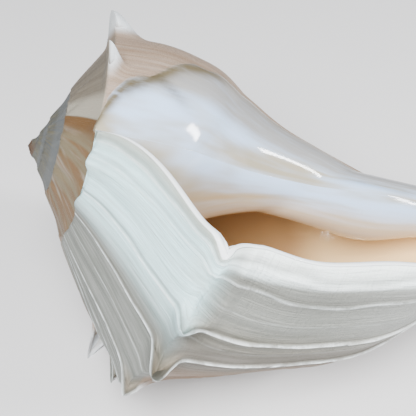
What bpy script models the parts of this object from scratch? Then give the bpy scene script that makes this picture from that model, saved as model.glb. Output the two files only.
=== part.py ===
"""Lightning whelk shell: one left-handed coiled shell, lying on its back with its aperture up.

The shell is described around its coiling axis. A turn is a growth angle in degrees: 0 is where the
outer lip meets the spire, and minus 360 is one whorl earlier. A depth is measured from the apex
along the axis. Across a whorl, a station of 0 is the suture, SHOULDER the shoulder and 1 the canal.
"""
import math

import bmesh
import bpy
import numpy as np
from mathutils import Matrix, Vector
from mathutils.geometry import intersect_point_tri

# Driving dimensions, in metres
LENGTH = 0.220
SHOULDER_AT_LIP = 0.0743
WALL = 0.0028
STEM = 0.0115
STEM_TIP = 0.0050
STEM_TAPER_START = 0.48
APEX_RISE = 0.0018
APEX_DROP = 0.0008

# Growth, per degree of turn
GROWTH = 0.0020
LATE_GROWTH = 0.00099
LATE_START = -291.0
LATE_EASE = 40.0
SPIRE_TURNS = 5

# Shape of a whorl, as shares of its shoulder radius
SPIRE_SLOPE = 0.531
BODY_REACH = 2.27
LONGEST_REACH = 0.236
REACH_EASE = 6.0
BACK_BULGE = 0.115
BACK_END = -181.0
BACK_EASE = 25.0
BODY_OUTLINE = ((0.0, 1.0), (0.08, 0.96), (0.18, 0.92), (0.30, 0.85), (0.42, 0.77),
                (0.53, 0.58), (0.64, 0.38), (0.76, 0.224), (0.88, 0.108), (1.0, 0.0))

# The last stretch before the lip, where the shoulder drops and tucks in
LIP_STRETCH = 84.0
LIP_EASE = 60.0
LIP_TUCK = 0.091
LIP_DROOP = 0.0137
CANAL_SPREAD = 0.004

# How far a growth line runs back from its turn at the suture, most of all at the lip, in degrees
LIP_LAG = 20.7
LIP_LAG_EASE = 31.5
RAMP_LAG = 4.0
RAMP_LAG_POWER = 0.83
CANAL_LAG = 4.3
BODY_BOW = 9.5
BODY_BOW_EASE = 10.0
BODY_BOW_END = 0.71
LIP_SAGS = ((0.9, 0.25, 0.09), (2.5, 0.49, 0.085))
LIP_SAG_EASE = 12.0
LAG_START = -345.0
LAG_EASE = 180.0

# The lip dips back at its newest fold, in degrees
NOTCH = 4.4
NOTCH_RAMP_SIDE = 0.0040
NOTCH_BODY_SIDE = 0.0062
NOTCH_PLACE = -0.0006
NOTCH_SIDES = 0.35
NOTCH_EASE = 22.0
NOTCH_START = -30.0
NOTCH_STRETCH = 20.0

# Stations across a whorl
SHOULDER = 0.30
RAMP_ROWS = 7
BODY_ROWS = 20
ROW_EASE = 1.25
EDGE_ROW = 0.022
FINE_START = -150.0
OLDER_COLUMNS = 44
NEWER_COLUMNS = 60

# Shoulder spines, each an open fold of a former lip: turn of its tip, its height, in degrees
# how far its keel runs back, and its breadth against the newest ones
SPINES = ((-321.0, 0.0078, 10.0, 1.2), (-276.0, 0.0104, 8.0, 1.15), (-249.0, 0.0100, 7.0, 1.3),
          (-223.0, 0.0095, 7.0, 1.3), (-197.0, 0.0095, 7.0, 1.3), (-172.0, 0.0090, 6.5, 1.3),
          (-146.0, 0.0112, 6.0, 1.3), (-120.0, 0.0100, 5.5, 1.5), (-92.0, 0.0040, 5.0, 1.2),
          (-74.0, 0.0060, 5.0, 1.4), (-54.0, 0.0134, 5.0, 1.0), (-43.0, 0.0100, 4.5, 1.0),
          (-30.5, 0.0014, 2.0, 1.0))
SPINE_FRONT = 1.5
SPINE_RAMP_SIDE = 0.0027
SPINE_BODY_SIDE = 0.0052
SPINE_ACROSS_POWER = 1.8
SPINE_KEEL_POWER = 1.25
SPINE_TILT = 0.25
SPINE_LEAN = 0.25
KNOBS_END = -340.0
KNOB_SPACING = 36.0
KNOB_SHARE = 0.045
KNOB_WIDTH = 0.16

# Where the shoulder sinks between two spines
DIP_TURN = -103.0
DIP_LENGTH = 9.0
DIP_DEPTH = 0.0034
DIP_PLACE = -0.0030
DIP_WIDTH = 0.0080

# The channel along the shoulder from the last large fold to the lip, and the ridge beside it
CHANNEL_START = -44.0
CHANNEL_EASE = 4.0
CHANNEL_DEPTH = 0.0030
CHANNEL_PLACE = 0.0014
CHANNEL_WIDTH = 0.0054
RIDGE_HEIGHT = 0.0015
RIDGE_PLACE = 0.0092
RIDGE_WIDTH = 0.0030

# Raised growth ledges on the ramp and the body, each running through a spine
LEDGES = SPINES[-7:]
LEDGE_HEIGHT = 0.0006
LEDGE_WIDTH = 2.5
LEDGE_END = 0.9

# The columella is waisted at the aperture's head and swells before the canal
WAIST = -0.0018
WAIST_DEPTH = 0.083
WAIST_LENGTH = 0.020
SWELL = 0.0040
SWELL_DEPTH = 0.128
SWELL_LENGTH = 0.017
COLUMELLA_START = -328.0
COLUMELLA_EASE = 30.0
COLUMELLA_END = -600.0

# Inside
MOUTH_END = -300.0
MOUTH_STEPS = 20
MOUTH_EASE = 1.4
CAVITY_END = -560.0
DEEP_STEPS = 13
NARROWEST_GAP = 0.0016
CORNER_DROP = 0.0036
GLAZE = 0.0004
GLAZE_EASE = 20.0
DEPTH_SAMPLES = 400

# How the shell lies: this turn is uppermost, and the coiling axis slopes down to the canal
REST_TURN = 40.0
REST_SLOPE = math.radians(16.0)

# Edges sharper than this are drawn as edges
SHARP_ANGLE = math.radians(50.0)


def soft_ramp(value, ease):
    """Return zero well below zero and the value itself well above, with a rounded bend."""
    return ease * np.log1p(np.exp(np.clip(value / ease, -60.0, 60.0)))


def smooth_step(value):
    t = np.clip(value, 0.0, 1.0)
    return t * t * (3.0 - 2.0 * t)


def curve_through(points, x):
    """Return the height at x of a smooth curve through the points."""
    xs, ys = np.array(points).T
    slopes = np.gradient(ys, xs)
    i = np.clip(np.searchsorted(xs, x) - 1, 0, len(xs) - 2)
    width = xs[i + 1] - xs[i]
    t = np.clip((x - xs[i]) / width, 0.0, 1.0)
    start = (2 * t**3 - 3 * t**2 + 1) * ys[i] + (t**3 - 2 * t**2 + t) * width * slopes[i]
    end = (3 * t**2 - 2 * t**3) * ys[i + 1] + (t**3 - t**2) * width * slopes[i + 1]
    return start + end


def lip_stage(turn):
    """Return how far the lip's own shape has set in: 0 on the older shell."""
    return np.maximum((turn + LIP_STRETCH) / LIP_EASE, 0.0) ** 2


def shoulder_radius(turn):
    growth = GROWTH * turn + LATE_GROWTH * soft_ramp(turn - LATE_START, LATE_EASE)
    return SHOULDER_AT_LIP * np.exp(growth) * (1.0 - LIP_TUCK * lip_stage(turn))


def shoulder_depth(turn):
    return SPIRE_SLOPE * shoulder_radius(turn) + APEX_RISE + LIP_DROOP * lip_stage(turn)


def stem_radius(depth):
    """Return the radius of the canal's stem, which every whorl narrows to."""
    taper = np.clip((depth / LENGTH - STEM_TAPER_START) / (1.0 - STEM_TAPER_START), 0.0, 1.0)
    return STEM + (STEM_TIP - STEM) * taper


def body_radius(turn, depth):
    """Return the outside radius below the shoulder. The upper half is fuller on the older shell."""
    shoulder = shoulder_radius(turn)
    reach = BODY_REACH * shoulder
    reach = reach / (1.0 + (reach / LONGEST_REACH) ** REACH_EASE) ** (1.0 / REACH_EASE)
    along = np.clip((depth - shoulder_depth(turn)) / reach, 0.0, 1.0)
    back = 1.0 / (1.0 + np.exp(np.clip((turn - BACK_END) / BACK_EASE, -60.0, 60.0)))
    outline = curve_through(BODY_OUTLINE, along)
    outline = outline + BACK_BULGE * back * np.sin(math.pi * np.clip(2.0 * along, 0.0, 1.0))
    spread = CANAL_SPREAD * lip_stage(turn) * smooth_step(along)
    plain = stem_radius(depth) + np.maximum(shoulder - STEM, 0.0) * outline + spread
    return plain + columella_relief(turn, depth)


def columella_relief(turn, depth):
    """Return how far the columella departs from the plain body."""
    share = smooth_step((COLUMELLA_START - turn) / COLUMELLA_EASE)
    share = share * smooth_step((turn - COLUMELLA_END) / COLUMELLA_EASE)
    waist = WAIST * np.exp(-((depth - WAIST_DEPTH) / WAIST_LENGTH) ** 2)
    return share * (waist + SWELL * np.exp(-((depth - SWELL_DEPTH) / SWELL_LENGTH) ** 2))


def growth_lag(turn, station):
    """Return how many degrees the growth line that starts at this turn lies behind it here."""
    share = smooth_step((turn - LAG_START) / LAG_EASE)
    ramp = np.clip(station / SHOULDER, 0.0, 1.0) ** RAMP_LAG_POWER
    body = np.clip((station - SHOULDER) / (1.0 - SHOULDER), 0.0, 1.0)
    ramp_lag = LIP_LAG * np.exp(turn / LIP_LAG_EASE) + RAMP_LAG * share
    bow = BODY_BOW * (1.0 - np.exp(turn / BODY_BOW_EASE)) * share
    body_lag = bow * np.sin(math.pi * np.clip(body / BODY_BOW_END, 0.0, 1.0))
    for sag, place, width in LIP_SAGS:
        sag = sag * np.exp(turn / LIP_SAG_EASE)
        body_lag = body_lag + sag * np.exp(-((station - place) / width) ** 2)
    return ramp_lag * smooth_step(ramp) + body_lag + CANAL_LAG * share * body


def shoulder_turn(turn):
    """Return the turn at which the growth line that starts here crosses the shoulder."""
    return turn - growth_lag(turn, SHOULDER)


def section_point(turn, station):
    """Return radius and depth on the plain outside of the whorl."""
    shoulder = shoulder_radius(turn)
    depth = shoulder_depth(turn)
    if station <= SHOULDER:
        share = station / SHOULDER
        inner = shoulder_radius(turn - 360.0)
        top = shoulder_depth(turn - 360.0)
        return inner + (shoulder - inner) * share, top + (depth - top) * share
    depth = depth + (LENGTH - depth) * depth_share(station)
    return body_radius(turn, depth), depth


def section_normal(turn, station):
    """Return the outward direction, as radius and depth, on the plain outside."""
    step = 0.004
    low = max(station - step, 0.0)
    high = min(station + step, SHOULDER if station <= SHOULDER else 1.0)
    r0, d0 = section_point(turn, low)
    r1, d1 = section_point(turn, high)
    length = math.hypot(r1 - r0, d1 - d0)
    return (d1 - d0) / length, (r0 - r1) / length


def from_shoulder(start, station):
    """Return how far from the shoulder this is along the line, less than zero on the ramp."""
    turn = shoulder_turn(start)
    if station < SHOULDER:
        ramp = shoulder_radius(turn) - shoulder_radius(turn - 360.0)
        return (station / SHOULDER - 1.0) * ramp * math.hypot(1.0, SPIRE_SLOPE)
    return depth_share(station) * (LENGTH - shoulder_depth(turn))


def along_spine(ahead, keel):
    """Return a spine's profile along the shoulder: a long keel behind and a steep front."""
    if ahead > 0.0:
        return math.exp(-(ahead / SPINE_FRONT) ** 2)
    return math.exp(-abs(ahead / keel) ** SPINE_KEEL_POWER)


def spine_lift(start, station):
    """Return how far the shoulder spines stand out, and how far they lean ahead."""
    distance = from_shoulder(start, station)
    if start < KNOBS_END:
        size = shoulder_radius(start)
        phase = math.cos(math.radians(start * 360.0 / KNOB_SPACING))
        knob = size * KNOB_SHARE * max(phase, 0.0) ** 2
        return knob * math.exp(-(distance / (KNOB_WIDTH * size)) ** 2), 0.0
    side = SPINE_RAMP_SIDE if distance < 0.0 else SPINE_BODY_SIDE
    height = 0.0
    lean = 0.0
    for spine_turn, spine, keel, breadth in SPINES:
        along = along_spine(shoulder_turn(start) - spine_turn, keel)
        across = math.exp(-abs(distance / side / breadth) ** SPINE_ACROSS_POWER)
        height = max(height, spine * along * across)
        lean += spine * SPINE_LEAN * along ** 2 * across
    return height, lean


def shoulder_relief(start, station):
    """Return the newest fold's channel and ridge along the shoulder, less the dip between spines."""
    here = shoulder_turn(start)
    distance = from_shoulder(start, station)
    channel = CHANNEL_DEPTH * math.exp(-((distance - CHANNEL_PLACE) / CHANNEL_WIDTH) ** 2)
    ridge = RIDGE_HEIGHT * math.exp(-((distance - RIDGE_PLACE) / RIDGE_WIDTH) ** 2)
    newest = smooth_step((here - CHANNEL_START) / CHANNEL_EASE) * (ridge - channel)
    along = ((here - DIP_TURN) / DIP_LENGTH) ** 2
    return newest - DIP_DEPTH * math.exp(-along - ((distance - DIP_PLACE) / DIP_WIDTH) ** 2)


def lip_notch(start, station):
    """Return how many degrees the lip dips back at its newest fold."""
    distance = from_shoulder(start, station) - NOTCH_PLACE
    side = NOTCH_RAMP_SIDE if distance < 0.0 else NOTCH_BODY_SIDE
    across = (distance / side) ** 2
    share = math.exp(start / NOTCH_EASE) * smooth_step((start - NOTCH_START) / NOTCH_STRETCH)
    return NOTCH * share * (1.0 - NOTCH_SIDES * across) * math.exp(-across)


def ledge_height(start, station):
    """Return how far the growth ledges stand out here, on the growth line from this start."""
    height = 0.0
    for ledge in LEDGES:
        ahead = (shoulder_turn(start) - ledge[0]) / LEDGE_WIDTH
        height += LEDGE_HEIGHT * math.exp(-ahead ** 2)
    return height * math.sin(math.pi * min(station / LEDGE_END, 1.0))


def outside_point(start, station):
    """Return a point on the outside, with all that stands out, on the growth line from start."""
    turn = start - growth_lag(start, station)
    radius, depth = section_point(turn, station)
    out, down = section_normal(turn, station)
    lift = ledge_height(start, station) + shoulder_relief(start, station)
    spine, lean = spine_lift(start, station)
    turn += math.degrees(lean / radius) - lip_notch(start, station)
    radius += lift * out + spine
    depth += lift * down - spine * SPINE_TILT
    return around_axis(turn, radius, min(depth, LENGTH))


def around_axis(turn, radius, depth):
    angle = math.radians(turn)
    return Vector((radius * math.cos(angle), radius * math.sin(angle), -depth))


def turn_columns():
    """Return the starts of the last whorl's columns: closer together near the lip.

    Where a spine stands, the nearest column is moved onto its tip.
    """
    older = np.linspace(-360.0, FINE_START, OLDER_COLUMNS, endpoint=False)
    newer = np.linspace(FINE_START, 0.0, NEWER_COLUMNS)
    columns = np.concatenate([older, newer])
    tips = np.interp([spine[0] for spine in SPINES], shoulder_turn(columns), columns)
    for tip in tips:
        columns[np.abs(columns - tip).argmin()] = tip
    return columns


def even_rows():
    """Return evenly spread stations from the suture to the canal's tip."""
    ramp = np.linspace(0.0, SHOULDER, RAMP_ROWS)
    body = np.linspace(SHOULDER, 1.0, BODY_ROWS)
    return [float(station) for station in np.concatenate([ramp, body[1:]])]


def edge_rows():
    """Return the stations close to the shoulder."""
    return [SHOULDER - EDGE_ROW, SHOULDER, SHOULDER + EDGE_ROW]


def station_rows():
    """Return the stations of the last whorl's rows."""
    return sorted(set(even_rows() + edge_rows()))


def inside_rows():
    """Return the stations of the rows inside, which are fewer."""
    return sorted(set(even_rows()[2:-1:2] + edge_rows() + [1.0]))


def depth_share(station):
    """Return how far down the body a station lies, from the shoulder to the canal's end."""
    return max((station - SHOULDER) / (1.0 - SHOULDER), 0.0) ** ROW_EASE


def add_column(mesh, turn, stations, top):
    """Add one column of the outside, hung from a vertex of the whorl above it."""
    column = {}
    for station in stations:
        if station == 0.0 and top is not None:
            column[station] = top
            continue
        column[station] = mesh.verts.new(outside_point(turn, station))
    return column


def join_columns(mesh, left, right, gap=None):
    """Fill between two neighbouring columns, at the places that both have, but leave the gap open."""
    shared = [place for place in left if place in right]
    for high, low in zip(shared, shared[1:]):
        if high == gap:
            continue
        left_side = [left[place] for place in left if high <= place <= low]
        right_side = [right[place] for place in right if high <= place <= low]
        corners = left_side + right_side[::-1]
        if left_side[0] == right_side[0]:
            corners.pop()
        mesh.faces.new(corners)


def add_outside(mesh, columns, rows):
    """Add the spire and the last whorl, and return the last whorl's columns."""
    per_whorl = len(columns) - 1
    coarse_rows = [0.0, even_rows()[RAMP_ROWS // 2], SHOULDER]
    strip = []
    for whorl in range(SPIRE_TURNS, -1, -1):
        for turn in columns[:per_whorl] - 360.0 * whorl:
            top = strip[-per_whorl][SHOULDER] if len(strip) >= per_whorl else None
            strip.append(add_column(mesh, turn, coarse_rows if whorl else rows, top))
    strip.append(add_column(mesh, columns[-1], rows, strip[-per_whorl][SHOULDER]))
    for left, right in zip(strip, strip[1:]):
        join_columns(mesh, left, right)
    add_apex(mesh, strip, per_whorl)
    return strip[-1 - per_whorl:]


def add_apex(mesh, strip, per_whorl):
    """Close the top of the first whorl on the apex."""
    apex = mesh.verts.new((0.0, 0.0, -APEX_DROP))
    edge = [column[0.0] for column in strip[:per_whorl + 1]]
    edge += list(strip[0].values())[-2::-1]
    for first, second in zip(edge, edge[1:]):
        mesh.faces.new((apex, first, second))


def canal_end(turn):
    """Return the greatest depth at which the inside still has room."""
    lagged = turn - growth_lag(turn, 1.0)
    depths = np.linspace(shoulder_depth(lagged), LENGTH, DEPTH_SAMPLES)
    room = body_radius(lagged, depths) - WALL - body_radius(turn - 360.0, depths)
    shut = np.nonzero(room <= NARROWEST_GAP)[0]
    return float(depths[shut[0] - 1]) if len(shut) else LENGTH


def inside_outer_point(turn, station, end):
    """Return a point on the inside face of the whorl's outer wall.

    Towards the canal's end the wall is measured level, so that the tip stays flat.
    """
    lagged = turn - growth_lag(turn, station)
    radius, depth = section_point(lagged, station)
    out, down = section_normal(lagged, station)
    share = depth_share(station)
    if station > SHOULDER:
        depth = shoulder_depth(lagged) + (end - shoulder_depth(lagged)) * share
        radius = body_radius(lagged, depth)
    down *= 1.0 - share ** 4
    thick = WALL - shoulder_relief(turn, station)
    lagged -= lip_notch(turn, station)
    return around_axis(lagged, radius - thick * out, depth - thick * down)


def inside_inner_point(turn, station, end):
    """Return a point on the columella side, which is the whorl before with its glaze."""
    top = shoulder_depth(turn - 360.0) + CORNER_DROP
    depth = top + (end - top) * depth_share(station)
    glaze = GLAZE * min(-turn / GLAZE_EASE, 1.0)
    return around_axis(turn, body_radius(turn - 360.0, depth) + glaze, depth)


def inside_turns():
    """Return the turns at which the inside is measured, close together near the lip."""
    near = MOUTH_END * (np.arange(1, MOUTH_STEPS + 1) / MOUTH_STEPS) ** MOUTH_EASE
    deep = np.linspace(MOUTH_END, CAVITY_END, DEEP_STEPS + 1)
    return np.concatenate([near, deep[1:]])


def inside_loop(outer, inner):
    """Return one loop round the inside, by place: outer wall from 0 to 1, columella from 2 to 3."""
    loop = dict(outer)
    for station in sorted(inner, reverse=True):
        loop[3.0 - station] = inner[station]
    loop[3.0] = outer[0.0]
    return loop


def add_inside(mesh, rows, first_column, lip_column):
    """Line the inside from the lip's rim back to its blind end.

    Returns the vertices that bound the open canal at its tip, from the lip round to the stem.
    """
    rim = {0.0: lip_column[0.0]}
    for station in rows[1:]:
        rim[station] = mesh.verts.new(inside_outer_point(0.0, station, LENGTH))
    join_columns(mesh, lip_column, rim)
    mouth = {station: first_column[station] for station in rows if station > SHOULDER}
    loops = [inside_loop(rim, mouth)]
    coarse_rows = inside_rows()
    open_outer = [loops[0][1.0]]
    open_inner = []
    for turn in inside_turns():
        end = canal_end(turn)
        outer = {0.0: mesh.verts.new(inside_inner_point(turn, SHOULDER, end))}
        inner = {}
        for station in coarse_rows:
            outer[station] = mesh.verts.new(inside_outer_point(turn, station, end))
            if station > SHOULDER:
                inner[station] = mesh.verts.new(inside_inner_point(turn, station, end))
        loops.append(inside_loop(outer, inner))
        tip_is_open = end >= LENGTH
        join_columns(mesh, loops[-2], loops[-1], gap=1.0 if tip_is_open else None)
        if tip_is_open:
            open_outer.append(outer[1.0])
            open_inner.append(inner[1.0])
    mesh.faces.new(list(loops[-1].values())[:-1])
    return open_outer + open_inner[::-1]


def shell_mesh():
    """Build the whole shell as one closed skin."""
    mesh = bmesh.new()
    rows = station_rows()
    whorl = add_outside(mesh, turn_columns(), rows)
    canal_edge = add_inside(mesh, rows, whorl[0], whorl[-1])
    mesh.faces.new([column[1.0] for column in whorl] + canal_edge)
    bmesh.ops.recalc_face_normals(mesh, faces=mesh.faces)
    bmesh.ops.triangulate(mesh, faces=[face for face in mesh.faces if len(face.verts) > 4])
    data = bpy.data.meshes.new("shell")
    mesh.to_mesh(data)
    mesh.free()
    return data


def centre_of_mass(data):
    """Return the centre of mass of the closed skin, filled evenly."""
    data.calc_loop_triangles()
    points = np.array([vertex.co for vertex in data.vertices])
    a, b, c = (points[[tri.vertices[k] for tri in data.loop_triangles]] for k in range(3))
    volumes = np.einsum("ij,ij->i", a, np.cross(b, c))
    return Vector((volumes[:, None] * (a + b + c)).sum(axis=0) / volumes.sum() / 4.0)


def ground_normal(data):
    """Return the way down, in the shell's own axes, when it lies on its back.

    It rests on the face of its convex hull, nearest to its back, that its weight falls within.
    """
    centre = centre_of_mass(data)
    hull = bmesh.new()
    hull.from_mesh(data)
    result = bmesh.ops.convex_hull(hull, input=hull.verts)
    back = -around_axis(REST_TURN, math.cos(REST_SLOPE), -math.sin(REST_SLOPE))
    faces = [item for item in result["geom"] if isinstance(item, bmesh.types.BMFace)]
    steady = [face for face in faces if intersect_point_tri(centre, *[v.co for v in face.verts])]
    down = min(steady, key=lambda face: face.normal.angle(back)).normal.copy()
    hull.free()
    return down


def lying_rotation(down):
    """Return the rotation that lays the shell down with its apex towards -X."""
    up = -down
    right = Vector((0.0, 0.0, -1.0))
    right = (right - up * right.dot(up)).normalized()
    back = up.cross(right)
    return Matrix((right, back, up))


def shell_material():
    material = bpy.data.materials.new("shell_chalk")
    material.use_nodes = True
    shader = material.node_tree.nodes["Principled BSDF"]
    shader.inputs["Base Color"].default_value = (0.72, 0.70, 0.65, 1.0)
    shader.inputs["Roughness"].default_value = 0.45
    shader.inputs["Metallic"].default_value = 0.0
    return material


def clear_scene():
    for item in list(bpy.data.objects):
        bpy.data.objects.remove(item, do_unlink=True)


def main():
    clear_scene()
    data = shell_mesh()
    data.materials.append(shell_material())
    data.shade_smooth()
    data.set_sharp_from_angle(angle=SHARP_ANGLE)
    shell = bpy.data.objects.new("shell", data)
    bpy.context.scene.collection.objects.link(shell)
    rotation = lying_rotation(ground_normal(data))
    corners = np.array([rotation @ vertex.co for vertex in data.vertices])
    low = corners.min(axis=0)
    high = corners.max(axis=0)
    shell.rotation_euler = rotation.to_euler()
    shell.location = (-(low[0] + high[0]) / 2.0, -(low[1] + high[1]) / 2.0, -low[2])


main()
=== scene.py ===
"""Lightning whelk shell lying on its back on a pale floor, seen from its aperture side.

The shell is described around its coiling axis, as its solid is. A start is the turn, in degrees, at
which a growth line leaves the suture: 0 at the lip, and minus 360 one whorl earlier. A station is
the place along that line: 0 at the suture, SHOULDER at the shoulder and 1 at the canal's end.
Lengths are in metres. A pair named RISE is where something starts to set in and over what length.
"""
import math

import bpy
import numpy as np
from mathutils import Matrix, Vector


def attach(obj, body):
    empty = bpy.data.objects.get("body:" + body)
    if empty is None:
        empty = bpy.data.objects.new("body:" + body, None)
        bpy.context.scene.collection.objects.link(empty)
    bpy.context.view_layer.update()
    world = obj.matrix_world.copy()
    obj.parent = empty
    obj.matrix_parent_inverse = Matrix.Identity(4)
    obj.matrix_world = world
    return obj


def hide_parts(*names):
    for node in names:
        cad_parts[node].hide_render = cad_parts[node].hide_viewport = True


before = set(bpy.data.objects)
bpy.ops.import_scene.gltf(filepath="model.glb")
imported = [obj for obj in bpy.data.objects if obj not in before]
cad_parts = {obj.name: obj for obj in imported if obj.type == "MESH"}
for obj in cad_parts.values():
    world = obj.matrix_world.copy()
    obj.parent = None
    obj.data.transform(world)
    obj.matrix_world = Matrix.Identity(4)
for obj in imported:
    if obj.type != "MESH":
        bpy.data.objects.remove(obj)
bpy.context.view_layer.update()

WHORL = 360.0
TINY = 1e-9
LARGEST_POWER = 60.0

# The shell's main sizes
LENGTH = 0.220
SHOULDER_AT_LIP = 0.0743
WALL = 0.0028
STEM = 0.0115
STEM_TIP = 0.0050
STEM_TAPER_START = 0.48
APEX_RISE = 0.0018
APEX_DROP = 0.0008

# Growth per degree of turn, faster from LATE_START on, and the spire's whorls
GROWTH = 0.0020
LATE_GROWTH = 0.00099
LATE_START = -291.0
LATE_EASE = 40.0
SPIRE_TURNS = 5

# Shape of a whorl, as shares of its shoulder radius
SPIRE_SLOPE = 0.531
BODY_REACH = 2.27
LONGEST_REACH = 0.236
REACH_EASE = 6.0
BACK_BULGE = 0.115
BACK_END = -181.0
BACK_EASE = 25.0
BODY_OUTLINE = ((0.0, 1.0), (0.08, 0.96), (0.18, 0.92), (0.30, 0.85), (0.42, 0.77),
                (0.53, 0.58), (0.64, 0.38), (0.76, 0.224), (0.88, 0.108), (1.0, 0.0))

# The last stretch before the lip, where the shoulder drops and tucks in
LIP_STRETCH = 84.0
LIP_EASE = 60.0
LIP_TUCK = 0.091
LIP_DROOP = 0.0137
CANAL_SPREAD = 0.004

# How far a growth line runs back from its start, most of all at the lip, in degrees
LIP_LAG = 20.7
LIP_LAG_EASE = 31.5
RAMP_LAG = 4.0
RAMP_LAG_POWER = 0.83
CANAL_LAG = 4.3
BODY_BOW = 9.5
BODY_BOW_EASE = 10.0
BODY_BOW_END = 0.71
LAG_RISE = (-345.0, 180.0)

# The shoulder's station, how depth grows past it, and the steps that slopes are taken over
SHOULDER = 0.30
ROW_EASE = 1.25
NORMAL_STEP = 0.010
SLOPE_STEP = 0.0008

# Shoulder spines, each an open fold of a former lip: turn of its tip, height, how many degrees
# its keel runs back, and how many times the plain breadth it has
SPINES = ((-321.0, 0.0078, 7.0, 0.7), (-276.0, 0.0104, 6.0, 1.35), (-249.0, 0.0100, 7.0, 1.3),
          (-223.0, 0.0095, 7.0, 1.3), (-197.0, 0.0095, 7.0, 1.3), (-172.0, 0.0090, 6.5, 1.3),
          (-146.0, 0.0112, 6.0, 1.3), (-120.0, 0.0100, 5.5, 1.5), (-92.0, 0.0040, 5.0, 1.2),
          (-74.0, 0.0060, 5.0, 1.4), (-54.0, 0.0134, 5.0, 1.25), (-43.0, 0.0100, 4.5, 1.15),
          (-30.5, 0.0014, 2.0, 1.0))
SPINE_FRONT = 1.5
SPINE_RAMP_SIDE = 0.0027
SPINE_BODY_SIDE = 0.0052
SPINE_ACROSS_POWER = 1.8
BLUNT_SPINES = (-321.0, -276.0, -54.0, -43.0)
BLUNT_ACROSS_POWER = 2.5
SPINE_KEEL_POWER = 1.25
SPINE_TILT = 0.25
SPINE_LEAN = 0.25
POCKET = 0.72
POCKET_BREADTH = 0.72
KNOBS_END = -340.0
KNOB_SPACING = 36.0
KNOB_SHARE = 0.045
KNOB_WIDTH = 0.16
NUB = 0.0009
NUB_RISE = (-1400.0, -120.0)

# Where the shoulder sinks between two spines. ALONG is a turn and a length in degrees, and
# ACROSS a distance from the shoulder, less than zero on the ramp, and a width
DIP_DEPTH = 0.0072
DIP_ALONG = (-103.0, 9.5)
DIP_ACROSS = (-0.0030, 0.0080)

# The channel along the shoulder from the last large fold to the lip, and the ridge beside it
CHANNEL_START = -44.0
CHANNEL_EASE = 4.0
CHANNEL_DEPTH = 0.0030
CHANNEL_ACROSS = (0.0026, 0.0058)
RIDGE_HEIGHT = 0.0018
RIDGE_ACROSS = (0.0088, 0.0026)

# How the channel rounds the shoulder off, in stations, and how much deeper the inside lies there
CHANNEL_ROUNDING = 0.055
ROUNDING_SPREAD = 1.3
ROUNDING_WEIGHTS = ((-0.75, 1.0), (-0.5, 2.0), (-0.25, 3.0), (0.0, 4.0), (0.25, 3.0),
                    (0.5, 2.0), (0.75, 1.0))
ROUNDING_NORMAL = 0.6
ROUNDING_DEPTH = 0.0020

# The hollows behind the two newest folds: turn, length in degrees, and depth
HOLLOWS = ((-46.2, 2.6, 0.0034), (-58.5, 3.2, 0.0024))
HOLLOW_ACROSS = (0.0062, 0.0052)

# Growth ledges, each with a sharp front and a thin cord along it: turn at the shoulder, height
LEDGES = ((-27.2, 0.0006), (-30.5, 0.0004), (-36.0, 0.00014), (-43.0, 0.0008), (-47.5, 0.00012),
          (-54.0, 0.0009), (-63.0, 0.0003), (-74.0, 0.0008), (-83.0, 0.0004), (-92.0, 0.0007),
          (-105.0, 0.0005), (-120.0, 0.0007), (-133.0, 0.0004), (-146.0, 0.0006), (-172.0, 0.0005))
LEDGE_BEHIND = 2.0
LEDGE_AHEAD = 0.22
RAMP_SHARE = 0.55
LEDGE_END = 0.94
LEDGE_END_POWER = 0.5
BODY_RELIEF_RISE = (0.24, 0.10)
RELIEF_RISE = (-330.0, 60.0)
MEAN_RELIEF = 0.0006
CORD_SHARE = 0.45
CORD_BEHIND = 0.1
CORD_WIDTH = 0.22

# How far growth lines wander, in degrees. Each wave has its rate along the line, its shift for
# each degree of turn, and its share
LEDGE_WAVE = 0.22
LEDGE_WAVES = ((29.0, 1.7, 1.0), (71.0, 2.9, 0.5))
FINE_LINE_WAVE = 0.5

# The many fine growth lines, with their gaps and widths in degrees
FINE_LINE_SEED = 11
FINE_LINE_COUNT = 130
FINE_LINE_START = -25.5
FINE_LINE_GAPS = (0.4, 3.4)
FINE_LINE_HEIGHT = 0.00020
FINE_LINE_HEIGHTS = (0.2, 1.8)
FINE_LINE_WIDTHS = (0.6, 2.4)
LINE_REACH = 14.0

# Each whorl's raised edge on the one before, with the rate and share of its waves, and how far
# the newest growth laps over it
SUTURE_LIFT = 0.0010
SUTURE_WIDTH = 0.016
SUTURE_FALL = (0.03, 0.22)
SUTURE_WAVES = ((0.31, 0.35), (0.63, 0.20))
SUTURE_POWER = 0.6
SUTURE_BUMPS = (-14.0, -41.0, -66.0)
SUTURE_BUMP = 1.5
SUTURE_BUMP_LENGTH = 6.0
SUTURE_REACH = 0.0007
SUTURE_LAP = 0.022
LAP_RISE = (-100.0, 20.0)

# The enamel over the inner side: the turn of its edge at each station, and that edge's waves,
# each with its rate along the line and its height in degrees
ENAMEL_LIFT = 0.0005
ENAMEL_START = -270.0
ENAMEL_EDGE = ((0.0, -372.0), (0.26, -366.0), (0.285, -358.0), (0.31, -344.0), (0.344, -330.0),
               (0.374, -325.0), (0.40, -320.0), (0.434, -308.0), (0.50, -296.0), (0.60, -285.0),
               (0.72, -283.0), (0.85, -295.0), (1.0, -310.0))
ENAMEL_EDGE_WIDTH = 1.6
ENAMEL_WAVES = ((61.0, 1.2), (143.0, 0.7))

# Inside
MOUTH_END = -300.0
MOUTH_STEPS = 76
MOUTH_EASE = 1.5
CAVITY_END = -560.0
DEEP_STEPS = 22
NARROWEST_GAP = 0.0016
CORNER_DROP = 0.0036
DEPTH_SAMPLES = 400
RIM_STEPS = 7
RIM_ROUND = 0.30
RIM_BEHIND = 0.6
RIM_HEAD = 0.06
RIM_TIP = 0.05

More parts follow.
